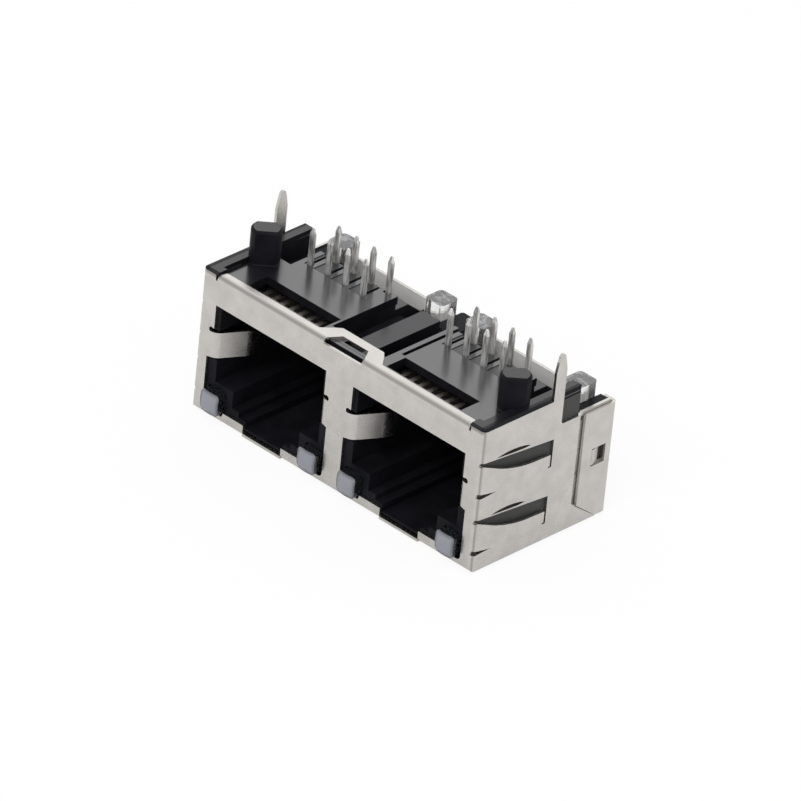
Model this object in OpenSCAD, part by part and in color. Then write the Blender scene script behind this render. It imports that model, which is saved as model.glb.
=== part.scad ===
// Two-port shielded modular jack for a circuit board, with four light pipes.
// Millimetres. X runs along the front, from left to right. Y runs from the front face to the back.
// Z runs from the closed face, which lies on the table, to the board side with the pins.
// The origin is in the middle of the front face's lower edge.

/* [Ports] */
// Distance between the two ports
port_pitch = 15.88; // [15.6:0.04:16.4]
// Distance from a port's centre to the outside of the nearer side wall
side_reach = 8.23; // [8.15:0.02:8.8]
// Width of the cavity that the plug's body slides into
cavity_w = 12; // [11.9:0.05:12.2]
// Height of the cavity's floor, beside the latch channel
cavity_z0 = 3.3; // [3.2:0.05:3.5]
// Height of the cavity's ceiling
cavity_z1 = 10.6; // [10.4:0.05:10.7]
// Depth of the cavity from the front face
cavity_d = 11.6; // [11.2:0.1:11.9]
// Width of the channel that the plug's latch runs in
latch_w = 4.4; // [4:0.1:5]
// Height of the latch channel's floor
latch_z = 0.65; // [0.55:0.05:0.8]
// Width of the first step beside the latch channel
step_w = 0.84; // [0.6:0.02:0.9]
// Height of the step next to the latch channel
low_step_z = 1.25; // [1.1:0.05:1.4]
// Height of the step next to the lens
high_step_z = 1.75; // [1.6:0.05:2]

/* [Shield] */
// Thickness of the tinned steel sheet
sheet_t = 0.25; // [0.2:0.01:0.3]
// Inside radius of the sheet's folds
fold_r = 0.2; // [0.1:0.02:0.3]
// Height of the side walls
wall_h = 13.3; // [13.1:0.1:13.8]
// Overall depth, from the front face to the back of the rear cover
shell_d = 15.87; // [15.7:0.05:16.6]
// Height of the side walls behind the board tabs
low_wall_h = 10.75; // [10.3:0.05:11]
// Width of the plug window in the front wall
window_w = 12.8; // [12.6:0.1:13]
// Height of the plug window's upper edge
window_z1 = 10.54; // [10.4:0.02:10.6]
// Width of the window where it widens for the lenses
lens_window_w = 13.94; // [13.8:0.02:14.1]
// Height of the lower edge of the lens windows
lens_window_z = 0.62; // [0.55:0.02:0.7]
// Height of the strip that closes the front beside the latch channel
strip_z = 1.02; // [0.9:0.02:1.2]
// Length of the lip that is folded over the board face along the front
lip_d = 0.92; // [0.7:0.02:1.2]
// Distance of the lip's ends from the corner folds
lip_inset = 1.28; // [0.8:0.02:1.4]
// Depth of the bulge in the middle of that lip
lip_bulge_d = 2.42; // [2.2:0.02:2.6]

/* [Shield springs] */
// Height of the lower edge of the springs in the plug windows
plug_spring_z0 = 5.45; // [5.3:0.05:5.6]
// Height of the upper edge of the springs in the plug windows
plug_spring_z1 = 7.95; // [7.6:0.05:8.1]
// Distance of the lower side spring's corner slots from the closed face
side_spring_z = 1.78; // [1.7:0.02:2]
// Height of a side spring where it leaves the front fold
side_spring_h = 2.95; // [2.6:0.05:3.1]
// Distance between the two springs of a side
side_spring_pitch = 5.4; // [5.2:0.01:5.6]
// Length of the cut that a side spring lies in
side_spring_l = 8.5; // [7.6:0.1:8.6]
// How far a side spring bows out of its wall
side_spring_bow = 0.34; // [0.1:0.02:0.4]

/* [Board tabs] */
// Distance of the shield's board tabs from the front face
tab_y = 8.6; // [8.4:0.05:8.8]
// Width of a board tab
tab_w = 1.2; // [1:0.05:1.4]
// Height of the tips of the board tabs
tab_z = 17.6; // [16.8:0.1:18.2]

/* [Rear cover] */
// Height of the cover's side ears
ear_z = 10.48; // [9.8:0.02:10.7]
// Distance of the ears' front edge from the front face
ear_y = 12.15; // [12.05:0.05:12.5]
// Height of the cover's back wall between its corners
back_z = 9.78; // [9.2:0.02:10.3]
// Width of the latch windows in the ears
catch_w = 1.6; // [1.3:0.05:1.7]
// Height of the latch windows in the ears
catch_h = 1.7; // [1.4:0.05:1.9]
// Height of the centre of the latch windows
catch_z = 5.95; // [5:0.05:7]

/* [Housing] */
// Height of the board face
board_z = 13.05; // [12.95:0.05:13.2]
// How far the rails along the sides stand above the side walls
rail_rise = 0.2; // [0.1:0.05:0.3]
// Width of the rails
rail_w = 0.97; // [0.8:0.01:1.2]
// Thickness of the plate that forms the board face
plate_t = 0.75; // [0.6:0.05:0.8]
// Distance from the front face to the rear edge of the opening that shows the contacts
comb_y1 = 3.55; // [3.2:0.05:3.8]
// Distance of the plate's rear edge from the front face
plate_y1 = 9.92; // [9.9:0.02:10.2]
// Distance of the rear edge of the high part from the front face
high_y1 = 11.5; // [11.2:0.1:11.6]
// Height of the low rear deck
deck_z = 10.6; // [10.2:0.05:10.7]
// Width of the middle rib between the ports
rib_w = 2; // [1.6:0.1:2.4]
// How far the top of the middle rib lies under the board face
rib_drop = 0.35; // [0.2:0.05:0.6]
// Distance of the rib's rear end from the front face
rib_y1 = 10.35; // [10:0.05:11]

/* [Locating pegs] */
// Distance of the pegs from the outside of the nearer side wall
peg_inset = 1.88; // [1.8:0.02:2]
// Distance of the pegs from the front face
peg_y = 5.2; // [5:0.05:5.6]
// Diameter of a peg
peg_d = 2.65; // [2.5:0.05:2.8]
// Width of a peg over its two flats
peg_flat = 1.96; // [1.8:0.02:2.2]
// Height of the pegs above the board face
peg_h = 3.14; // [2.8:0.02:3.6]

/* [Contacts] */
// Distance between neighbouring contacts
contact_pitch = 1.016; // [1.01:0.001:1.02]
// Width of a contact
contact_w = 0.46; // [0.38:0.02:0.48]
// Thickness of a contact
contact_t = 0.3; // [0.24:0.01:0.32]
// Distance of the front row of pins from the front face
row_y = 7.78; // [7.6:0.02:7.9]
// Distance between the two rows of pins
row_gap = 1.95; // [1.9:0.01:2]
// Height of the tips of the pins
pin_z = 16.45; // [16:0.05:17]
// Height of the contacts' run inside the insert, at its middle
run_z = 11.9; // [11.85:0.01:11.95]
// Slope of the spring wire in the cavity, in degrees
wire_slope = 21; // [20:0.5:23]
// Length of the straight spring wire in the cavity
wire_l = 8.2; // [7.6:0.1:8.4]

/* [Light pipes] */
// Distance of a light pipe from its port's centre
pipe_x = 5.65; // [5.6:0.01:5.75]
// Width of a light pipe
pipe_w = 2.05; // [1.9:0.05:2.1]
// Height of the middle of a lens
pipe_z = 1.75; // [1.7:0.02:1.9]
// How far the lenses stand out of the front face
lens_out = 0.78; // [0.5:0.02:1]
// Gap between the light pipes and the rear cover
pipe_back = 0.6; // [0.5:0.05:0.7]
// Height of the upper end of the light pipes
pipe_top_z = 11.97; // [11.2:0.05:12.6]

/* [Hidden] */
$fn = 48;

// Clearance between the shield and what lies inside it
shield_gap = 0.03;
// Clearance of the light pipes in their tunnels
pipe_gap = 0.05;
// Clearance of the inserts in the housing
insert_gap = 0.05;
// Clearance of the contacts in their grooves
contact_gap = 0.03;
// A little more, so that cuts run past a face
over = 1;

port_x = [-port_pitch / 2, port_pitch / 2];
shell_w = port_pitch + 2 * side_reach;
half_w = shell_w / 2;
fold_out = fold_r + sheet_t;

// The rear cover's ears lie in a joggle of the side walls
joggle = sheet_t + shield_gap;
joggle_y0 = ear_y - 0.68;
joggle_y1 = ear_y - 0.05;
wall_y1 = shell_d - sheet_t - shield_gap - fold_r;
// The ears' lower front corners are cut off; under the cut the side walls run straight on
ear_cut = [[ear_y, 1.72], [ear_y + 2.3, 0.12]];

housing_x = half_w - sheet_t - shield_gap;
housing_y0 = sheet_t + shield_gap;
housing_y1 = shell_d - sheet_t - shield_gap - fold_r;
housing_z0 = sheet_t + shield_gap;
narrow_y = joggle_y0 - 0.1 - shield_gap;

// The contacts' run lies in open grooves of the insert
groove_z = run_z - contact_t / 2;
nose_r = 0.45;
insert_z0 = groove_z - 2 * nose_r;
insert_z1 = board_z - plate_t - insert_gap;
insert_w = 8 * contact_pitch + 0.7;
insert_back = 1.4;
nose_y = 1.95;
tongue_z = board_z - 0.06;
// Half width of the slot behind each pin of the front row
slot_half = 0.17;
// Floor of the pockets and grooves beside the plates, and the front end of the outer pockets
pocket_z = cavity_z1 + 0.5;
pocket_y0 = peg_y + 1.2;
// Lower end of the slots in the inserts' combs
comb_slot_z = 6.6;
// Leg of the light pipes' mirror face
mirror_leg = 1.3;
rear_y = row_y + row_gap;
contact_field = 7 * contact_pitch + contact_w + 0.9;

// Half width of the plate behind a contact slot, and of the narrow bar beside the right plate
plate_half = 4.48;
bar_w = 0.45;
slit_w = 0.36;
channel_w = [port_pitch / 2 - plate_half, port_pitch / 2 - plate_half - slit_w - bar_w];
tunnel_w = pipe_w + 2 * pipe_gap;
pipe_y = shell_d - sheet_t - pipe_back - pipe_w / 2;

function steps(n) = [for (i = [0 : n]) i / n];
function arc(centre, r, a0, a1, n) =
    [for (s = steps(n)) centre + r * [cos(a0 + s * (a1 - a0)), sin(a0 + s * (a1 - a0))]];
function unit(v) = v / norm(v);
function normal(v) = [-v[1], v[0]];

// Direction of a path at its point i
function heading(p, i) = unit(p[min(i + 1, len(p) - 1)] - p[max(i - 1, 0)]);

// Outline of a sheet of thickness t that follows the path p
function ribbon(p, t) = concat(
    [for (i = [0 : len(p) - 1]) p[i] + t / 2 * normal(heading(p, i))],
    [for (i = [len(p) - 1 : -1 : 0]) p[i] - t / 2 * normal(heading(p, i))]
);

// Extrudes an outline drawn as (y, z) from x0 to x1
module along_x(x0, x1) {
    translate([x0, 0, 0]) rotate([90, 0, 90]) linear_extrude(x1 - x0) children();
}

// Extrudes an outline drawn as (x, z) from y0 to y1
module along_y(y0, y1) {
    translate([0, y1, 0]) rotate([90, 0, 0]) linear_extrude(y1 - y0) children();
}

// Extrudes an outline drawn as (x, y) from z0 to z1
module along_z(z0, z1) {
    translate([0, 0, z0]) linear_extrude(z1 - z0) children();
}

module box(low, high) {
    translate(low) cube(high - low);
}

// Rectangle from low to high with round corners
module rounded(low, high, r) {
    translate([low[0] + r, low[1]]) square([high[0] - low[0] - 2 * r, high[1] - low[1]]);
    translate([low[0], low[1] + r]) square([high[0] - low[0], high[1] - low[1] - 2 * r]);
    for (x = [low[0] + r, high[0] - r]) for (y = [low[1] + r, high[1] - r]) translate([x, y]) circle(r);
}

module both_sides() {
    children();
    mirror([1, 0, 0]) children();
}

module each_port() {
    for (x = port_x) translate([x, 0, 0]) children();
}

// Front wall and side walls in plan: one strip folded at the two front corners,
// with a step inward near the back that the rear cover's ears lie in
module wall_plan(step) {
    low_x = half_w - step;
    difference() {
        union() {
            rounded([-half_w, 0], [half_w, joggle_y0], fold_out);
            translate([-half_w, fold_out]) square([shell_w, joggle_y0 - fold_out]);
            polygon([
                [-half_w, joggle_y0], [half_w, joggle_y0], [low_x, joggle_y1],
                [low_x, wall_y1], [-low_x, wall_y1], [-low_x, joggle_y1]
            ]);
        }
        rounded([-half_w + sheet_t, sheet_t], [half_w - sheet_t, joggle_y0 - sheet_t], fold_r);
        polygon([
            [-half_w + sheet_t, fold_out], [half_w - sheet_t, fold_out],
            [half_w - sheet_t, joggle_y0 - 0.1], [low_x - sheet_t, joggle_y1 - 0.1],
            [low_x - sheet_t, wall_y1 + over], [-low_x + sheet_t, wall_y1 + over],
            [-low_x + sheet_t, joggle_y1 - 0.1], [-half_w + sheet_t, joggle_y0 - 0.1]
        ]);
    }
}

// Side walls as seen from the side, as (y, z): high in front, stepped down behind the board tab
module wall_side() {
    tab_half = tab_w / 2;
    difference() {
        square([tab_y + tab_half, wall_h]);
        square(fold_out);
    }
    intersection() {
        translate([fold_out, fold_out]) circle(fold_out);
        square(fold_out);
    }
    translate([fold_out, ear_z - 1]) square([wall_y1 - fold_out, low_wall_h - ear_z + 1]);
    translate([fold_out, 0]) square([wall_y1 - fold_out, ear_z - 0.5]);
    corner = tab_y + tab_half;
    difference() {
        translate([corner, low_wall_h]) square(0.3);
        translate([corner + 0.3, low_wall_h + 0.3]) circle(0.3);
    }
    board_tab();
}

// Board tab with a long taper and a round tip, as (y, z)
module board_tab() {
    tip_r = 0.3;
    polygon([
        [tab_y - tab_w / 2, wall_h - 0.5], [tab_y + tab_w / 2, wall_h - 0.5],
        [tab_y + tab_w / 2, tab_z - 1.6], [tab_y + 0.42, tab_z - 0.7], [tab_y + tip_r, tab_z - tip_r],
        [tab_y - tip_r, tab_z - tip_r], [tab_y - 0.42, tab_z - 0.7], [tab_y - tab_w / 2, tab_z - 1.6]
    ]);
    translate([tab_y, tab_z - tip_r]) circle(tip_r);
}

// Window of one port in the front wall, as (x, z): the plug's opening, the gaps at the springs,
// the two lens windows and the notch for the latch
module port_window() {
    spring_half = window_w / 2 + 0.35;
    slot_r = 0.25;
    translate([-window_w / 2, plug_spring_z1]) square([window_w, window_z1 - plug_spring_z1]);
    translate([-spring_half, plug_spring_z0]) square([2 * spring_half, plug_spring_z1 - plug_spring_z0]);
    for (s = [-1, 1]) hull() {
        translate([s * (window_w / 2 + 0.3), plug_spring_z1 + 0.14]) circle(slot_r);
        translate([s * (window_w / 2 - 0.15), plug_spring_z1 + 0.1]) circle(slot_r - 0.05);
    }
    rounded([-lens_window_w / 2, lens_window_z], [-latch_w / 2 - step_w, plug_spring_z0], 0.4);
    rounded([latch_w / 2 + step_w, lens_window_z], [lens_window_w / 2, plug_spring_z0], 0.4);
    translate([-latch_w / 2 - 2.55, strip_z]) square([latch_w + 5.1, plug_spring_z0 - strip_z]);
    translate([-lens_window_w / 2, 2]) square([lens_window_w, plug_spring_z0 - 2]);
}

// What is left of the strip beside the latch channel, under the lens window's cut
module port_strips() {
    for (s = [-1, 1]) scale([s, 1]) {
        polygon([
            [latch_w / 2, 0], [latch_w / 2 + 2.75, 0],
            [latch_w / 2 + 2.35, strip_z], [latch_w / 2, strip_z]
        ]);
    }
}

// Lip over the board face, in plan: a narrow strip with a bulge round a window in the middle
module lip_plan() {
    end_x = half_w - fold_out - lip_inset;
    bulge = 3.65;
    difference() {
        union() {
            rounded([-end_x, -0.2], [end_x, lip_d], 0.45);
            polygon([
                [-bulge, lip_d - 0.3], [-bulge, lip_d], [-2.75, lip_bulge_d - 0.4], [-2.35, lip_bulge_d],
                [2.35, lip_bulge_d], [2.75, lip_bulge_d - 0.4], [bulge, lip_d], [bulge, lip_d - 0.3]
            ]);
        }
        polygon([[-2.15, -over], [2.15, -over], [2.15, 0.35], [1.45, 1.52], [-1.45, 1.52], [-2.15, 0.35]]);
        translate([-end_x - over, -over]) square([2 * end_x + 2 * over, over + fold_out]);
    }
}

// Quarter fold between an upright wall at y = 0 and a flat panel above it, as (y, z)
module fold_profile(top) {
    intersection() {
        translate([fold_out, top - fold_out]) difference() {
            circle(fold_out);
            circle(fold_r);
        }
        translate([0, top - fold_out]) square(fold_out);
    }
}

// Outline of one side spring, as (y, z) from its lower corner slot: a long tapered finger
module side_spring_outline() {
    tip = side_spring_l - 0.3;
    polygon([
        [0, 0.18], [0.2 * tip, 0.08], [0.5 * tip, 0], [tip, -0.03], [tip, 0.36 * side_spring_h],
        [0.82 * tip, 0.42 * side_spring_h], [0.67 * tip, 0.46 * side_spring_h],
        [0.52 * tip, 0.53 * side_spring_h], [0.38 * tip, 0.62 * side_spring_h],
        [0.26 * tip, 0.72 * side_spring_h], [0.13 * tip, 0.86 * side_spring_h], [0, side_spring_h - 0.03]
    ]);
}

// Cut round one side spring: a gap that opens towards the tip, and the two corner slots
module side_spring_cut() {
    difference() {
        polygon([
            [0.2, -0.26], [1.9, -0.16], [side_spring_l - 0.4, -0.1], [side_spring_l - 0.35, -0.22],
            [side_spring_l, -0.22],
            [side_spring_l, 0.81 * side_spring_h], [0.2, side_spring_h + 0.2]
        ]);
        intersection() {
            side_spring_outline();
            translate([-over, -over]) square([fold_out + over, side_spring_h + 2 * over]);
        }
    }
    spring_brow();
}

// Crescent slit above a side spring; a narrow strip of the wall is left between the two
module spring_brow() {
    h = side_spring_h;
    polygon([
        [1.75, h + 0.17], [2.3, h + 0.27], [3, h + 0.34], [3.7, h + 0.35], [4.5, h + 0.28],
        [5.2, h + 0.15], [5.8, h - 0.04], [5, h - 0.08], [3.7, h]
    ]);
}

// How far a side spring stands out of its wall at the part s of its free length
function bow(s) = side_spring_bow * sin(169 * pow(s, 0.8));

module side_spring() {
    root_y = fold_out;
    mid_x = half_w - sheet_t / 2;
    path = concat(
        [[mid_x, root_y - 0.05]],
        [for (s = steps(22)) [mid_x + bow(pow(s, 1.5)), root_y + pow(s, 1.5) * (side_spring_l - root_y)]]
    );
    intersection() {
        along_z(0, side_spring_h + 0.2) polygon(ribbon(path, sheet_t));
        along_x(half_w - over, half_w + over) side_spring_outline();
    }
}

// Spring in the plug window, in plan for the right edge of a port at x = 0:
// it turns in round the window's edge, reaches into the cavity and curls back
module plug_spring_plan() {
    root = [window_w / 2 + 0.36, sheet_t / 2];
    bend = 0.8;
    turn = 61;
    straight = 2.3;
    tip_r = 1.3;
    tip_turn = 44;
    path_a = arc(root + [0, bend], bend, -90, -90 - turn, 7);
    path_b = path_a[7] + straight * [-cos(turn), sin(turn)];
    tip_a = 270 - turn;
    path_c = arc(path_b + tip_r * [sin(turn), cos(turn)], tip_r, tip_a, tip_a - tip_turn, 6);
    path_d = path_c[6] + 0.5 * [sin(tip_a - tip_turn), -cos(tip_a - tip_turn)];
    polygon(ribbon(concat([root + [0.3, 0]], path_a, path_c, [path_d]), sheet_t));
}

// The front shell: one stamped sheet folded into the front, both sides, the closed face and the
// lip over the board face, with the side springs, plug springs and board tabs left on it
module front_shell() {
    color("gainsboro") difference() {
        union() {
            front_shell_body();
            for (k = [0, 1]) both_sides() {
                translate([0, 0, side_spring_z + k * side_spring_pitch]) side_spring();
            }
            both_sides() catch_bump();
        }
        for (k = [0, 1]) both_sides() {
            translate([0, 0, side_spring_z + k * side_spring_pitch]) corner_slots();
        }
    }
}

module front_shell_body() {
    lip_x = half_w - fold_out - lip_inset;
    difference() {
        union() {
            intersection() {
                along_z(0, tab_z + over) wall_plan(joggle);
                along_x(-half_w - over, half_w + over) difference() {
                    wall_side();
                    under_ear(0);
                }
            }
            intersection() {
                along_z(0, tab_z + over) wall_plan(0);
                along_x(-half_w - over, half_w + over) intersection() {
                    wall_side();
                    under_ear(shield_gap);
                }
            }
            both_sides() ear_step();
        }
        // the front wall ends under the fold of the lip
        box([-lip_x, -over, wall_h - fold_out], [lip_x, fold_out + 0.01, tab_z + over]);
        both_sides() box([lip_x - 0.01, -over, wall_h - fold_out - 0.05], [lip_x + 0.2, fold_out, tab_z]);
        // the front wall ends above the fold to the closed face
        box([-half_w + fold_out, -over, -over], [half_w - fold_out, fold_out + 0.01, fold_out]);
        each_port() along_y(-over, fold_out + 0.02) difference() {
            port_window();
            port_strips();
        }
        each_port() box([-latch_w / 2, -over, -over], [latch_w / 2, fold_out + 0.01, window_z1 - 1]);
        for (k = [0, 1]) both_sides() translate([0, 0, side_spring_z + k * side_spring_pitch]) {
            along_x(half_w - over, half_w + over) side_spring_cut();
        }
        both_sides() wall_holes();
    }
    // lip over the board face with its fold
    along_z(wall_h - sheet_t, wall_h) lip_plan();
    difference() {
        along_x(-lip_x, lip_x) fold_profile(wall_h);
        along_z(wall_h - over, wall_h + over) polygon([
            [-2.15, -over], [2.15, -over], [2.15, fold_out + 0.01], [-2.15, fold_out + 0.01]
        ]);
    }
    // closed face with its fold
    difference() {
        translate([0, 0, fold_out]) mirror([0, 0, 1]) {
            along_x(-half_w + fold_out, half_w - fold_out) fold_profile(fold_out);
        }
        each_port() box([-latch_w / 2, -over, -over], [latch_w / 2, fold_out + 0.01, over]);
    }
    closed_face();
    each_port() both_sides() along_z(plug_spring_z0 + 0.06, plug_spring_z1 - 0.06) plug_spring_plan();
}

// Panel on the closed face; it reaches the front edge in the latch notches
module closed_face() {
    seam = 0.02;
    box([-half_w + fold_out, fold_out, 0], [half_w - fold_out, wall_y1, sheet_t]);
    box([-half_w + sheet_t + seam, fold_out, 0], [half_w - sheet_t - seam, joggle_y0 - 0.3, sheet_t]);
    each_port() box([-latch_w / 2, 0, 0], [latch_w / 2, fold_out + 0.01, sheet_t]);
}

// Region below the ears' cut corners, as (y, z), lowered by the gap
module under_ear(gap) {
    a = ear_cut[0];
    b = ear_cut[1];
    low = gap * 1.3;
    polygon([
        [joggle_y0 - 0.02, -over], [wall_y1 - 0.4, -over], [b[0] + 0.1, b[1] - 0.06 - low],
        [a[0] - 0.1, a[1] + 0.1 - low], [joggle_y0 - 0.02, a[1] + 0.62 - low]
    ]);
}

// Step between the joggled part of a side wall and its straight part under the ear
module ear_step() {
    a = ear_cut[0];
    b = ear_cut[1];
    low = shield_gap * 1.3;
    along_x(half_w - joggle - sheet_t, half_w) intersection() {
        polygon([
            [b[0] + 0.1, b[1] - 0.06 - low], [a[0] - 0.1, a[1] + 0.1 - low],
            [joggle_y0 + 0.1, a[1] + 0.5 - low], [joggle_y0 - 0.1, a[1] + 0.25 - low],
            [a[0] - 0.2, a[1] - 0.2 - low], [b[0] - 0.3, 0], [b[0] + 0.1, 0]
        ]);
        square([wall_y1, ear_z]);
    }
}

// Small square slots through the front fold, above and below each side spring
module corner_slots() {
    for (z = [0, side_spring_h]) box([half_w - 0.3, -over, z - 0.2], [half_w + over, 0.3, z + 0.2]);
}

// Round relief hole and short slit in the joggle of a side wall, and the opening that the
// catch bump is lanced from
module wall_holes() {
    along_x(half_w - over, half_w + over) {
        translate([joggle_y0 + 0.26, low_wall_h - 0.45]) circle(0.21);
        translate([joggle_y0, catch_z - 0.9]) square([0.5, 0.13]);
        translate([catch_y() + 0.14, catch_z - catch_h / 2 + 0.12]) {
            square([catch_w / 2 - 0.14, catch_h - 0.24]);
        }
    }
}

// Bump pressed out of the side wall, which the ear of the rear cover snaps over
module catch_bump() {
    y0 = catch_y() - catch_w / 2;
    low_x = half_w - joggle;
    along_z(catch_z - catch_h / 2 + 0.12, catch_z + catch_h / 2 - 0.12) polygon([
        [low_x - 0.05, y0 + 0.06], [low_x + sheet_t, y0 + 0.06], [low_x + sheet_t + 0.04, y0 + 0.13],
        [low_x + 0.06, y0 + 0.94], [low_x - 0.05, y0 + 0.94]
    ]);
}

function catch_y() = ear_y + 2;

// The rear cover: a back wall with two ears that lie in the joggles of the side walls
module rear_cover() {
    ear_r = 0.3;
    inner_x = half_w - sheet_t;
    color("silver") difference() {
        intersection() {
            along_z(0, ear_z) difference() {
                union() {
                    rounded([-half_w, ear_y], [half_w, shell_d], fold_out);
                    translate([-half_w, ear_y]) square([shell_w, fold_out]);
                }
                rounded([-inner_x, ear_y - over], [inner_x, shell_d - sheet_t], fold_r);
            }
            along_x(-half_w - over, half_w + over) {
                ear_outline(ear_r);
            }
        }
        box([-half_w + 1.4, shell_d - over, back_z], [half_w - 1.4, shell_d + over, ear_z + over]);
        both_sides() along_x(half_w - over, half_w + over) {
            translate([catch_y() - catch_w / 2, catch_z - catch_h / 2]) square([catch_w, catch_h]);
        }
    }
}

// Ear as (y, z): round upper front corner, lower front corner cut off
module ear_outline(r) {
    difference() {
        rounded([ear_y, 0.05], [shell_d + over, ear_z], r);
        polygon([
            [ear_y - over, -over], ear_cut[1] + [0.3, -0.3], ear_cut[1],
            ear_cut[0] + [0, 0.1], [ear_y - over, 1.8]
        ]);
    }
}

// Outline of a light pipe or its tunnel, from its middle, with round corners
module pipe_section(w, r) {
    rounded([-w / 2, -w / 2], [w / 2, w / 2], r);
}

// Cross-section of a peg, smaller by 2 * inset: round with two flats, turned by an eighth of a turn
module peg_section(inset) {
    intersection() {
        circle(d = peg_d - 2 * inset);
        rotate(45) square([2 * peg_d, peg_flat - 2 * inset], center = true);
    }
}

// Peg with a chamfered end; it starts a little inside the board face
module peg() {
    chamfer = 0.2;
    root = 0.2;
    hull() {
        along_z(-root, peg_h - chamfer) peg_section(0);
        along_z(-root, peg_h) peg_section(chamfer);
    }
}

// The cavity of one port: the plug's space, the stepped channel for its latch,
// the space of the spring wires and the room behind the plug springs
module port_cavity() {
    lens_boss = latch_w / 2 + 2 * step_w;
    box([-cavity_w / 2, -over, cavity_z0], [cavity_w / 2, cavity_d, cavity_z1]);
    box([-lens_boss, -over, high_step_z], [lens_boss, cavity_d, cavity_z0 + 0.01]);
    box([-latch_w / 2 - step_w, -over, low_step_z], [latch_w / 2 + step_w, cavity_d, high_step_z + 0.01]);
    box([-latch_w / 2, -over, latch_z], [latch_w / 2, cavity_d, low_step_z + 0.01]);
    box([-window_w / 2 - 0.5, -over, plug_spring_z0 - 0.15],
        [window_w / 2 + 0.5, 4.35, plug_spring_z1 + 0.15]);
}

// Where one contact insert slides in, from the back, with the slot behind the lip
// that shows the contacts and the openings of the pins
module insert_space() {
    half = insert_w / 2 + insert_gap;
    box([-half, nose_y - 1.05, insert_z0 - insert_gap], [half, housing_y1 + over, board_z - plate_t]);
    box([-half, nose_y - 1.05, cavity_z1 - 0.01], [half, cavity_d, board_z - plate_t]);
    wide = plate_half + insert_gap;
    box([-wide, 2.3, pocket_z], [wide, high_y1 + over, board_z - plate_t]);
    box([-half, cavity_d - 0.01, cavity_z0], [half, housing_y1 + over, insert_z1]);
    box([-contact_field / 2, nose_y - 0.6, insert_z0], [contact_field / 2, comb_y1, board_z + over]);
    for (k = [0 : 3]) {
        x = front_pin(k);
        left = k == 0 ? x - 0.42 : x - 1.39;
        box([left, row_y - 0.33, insert_z0], [x + slot_half, plate_y1 + over, board_z + over]);
        box([x - contact_w / 2 - 0.06, row_y - 0.33, insert_z0],
            [x + contact_w / 2 + 0.06, row_y + contact_t / 2 + 0.06, board_z + over]);
    }
    x4 = front_pin(3) + contact_pitch;
    box([x4 - 0.42, rear_y - 0.3, insert_z0], [x4 + 0.32, plate_y1 + over, board_z + over]);
}

function front_pin(k) = (2 * k - 3.5) * contact_pitch;

module light_pipe_tunnels() {
    for (s = [-1, 1]) translate([s * pipe_x, 0, 0]) {
        along_y(-over, housing_y1 + over) translate([0, pipe_z]) pipe_section(tunnel_w, 0.35);
        low = pipe_y - tunnel_w / 2;
        box([-tunnel_w / 2, low, pipe_z - tunnel_w / 2 + 0.35],
            [tunnel_w / 2, housing_y1 + over, board_z + over]);
        scale([s, 1, 1]) {
            box([-pipe_x, cavity_d + insert_back + 0.2, cavity_z0], [0, housing_y1 + over, board_z + over]);
        }
    }
}

// The moulded housing with both ports
module housing() {
    color([0.13, 0.13, 0.14]) {
        difference() {
            union() {
                front_block();
                box([-housing_x, lip_d + shield_gap, deck_z - over], [housing_x, narrow_y, board_z]);
                box([-housing_x, narrow_y - over, low_wall_h + shield_gap],
                    [housing_x, high_y1, board_z]);
                box([-housing_x, fold_out + 0.15, deck_z - over], [housing_x, lip_d + over, board_z - 0.02]);
                inner_x = housing_x - joggle;
                box([-inner_x, narrow_y - over, housing_z0], [inner_x, housing_y1, deck_z]);
                box([-inner_x, narrow_y - over, deck_z - over], [inner_x, high_y1, board_z]);
                both_sides() rail();
            }
            each_port() {
                port_cavity();
                insert_space();
                light_pipe_tunnels();
            }
            channel_grooves();
            both_sides() outer_pocket();
            rear_gap();
        }
        for (s = [-1, 1]) translate([s * (half_w - peg_inset), peg_y, board_z]) peg();
        pipe_divider();
    }
}

// Front part of the housing; its front edges are bevelled to clear the shield's folds
module front_block() {
    b = fold_r - shield_gap;
    intersection() {
        along_z(housing_z0, deck_z) polygon([
            [-housing_x + b, housing_y0], [housing_x - b, housing_y0], [housing_x, housing_y0 + b],
            [housing_x, narrow_y], [-housing_x, narrow_y], [-housing_x, housing_y0 + b]
        ]);
        along_x(-housing_x, housing_x) polygon([
            [housing_y0 + b, housing_z0], [narrow_y, housing_z0], [narrow_y, deck_z],
            [housing_y0, deck_z], [housing_y0, housing_z0 + b]
        ]);
    }
}

// Rail along one side of the board face, as seen from the board
module rail_plan() {
    inner = half_w - fold_out - lip_inset + 0.05;
    b = fold_r - shield_gap;
    polygon([
        [inner, housing_y0], [housing_x - b, housing_y0], [housing_x, housing_y0 + b],
        [housing_x, high_y1], [housing_x - rail_w, high_y1],
        [housing_x - rail_w, lip_d + 0.18], [inner, lip_d + 0.18]
    ]);
}

// Rim of the rail in front of the board tab, which reaches out over the shield's top edges
module rim_plan() {
    inner = half_w - fold_out - lip_inset + 0.05;
    outer = half_w - 0.01;
    y0 = 0.01;
    difference() {
        translate([inner, y0]) square([outer - inner, tab_y - tab_w / 2 - 0.1 - y0]);
        translate([outer - fold_out, y0 - over]) square([fold_out + over, fold_out + over]);
        translate([housing_x - rail_w, lip_d + 0.18]) mirror([1, 0]) square([over, tab_y]);
    }
    intersection() {
        translate([outer - fold_out, y0 + fold_out]) circle(fold_out);
        translate([outer - fold_out - 0.01, y0]) square([fold_out + 0.01, fold_out + 0.01]);
    }
}

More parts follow.
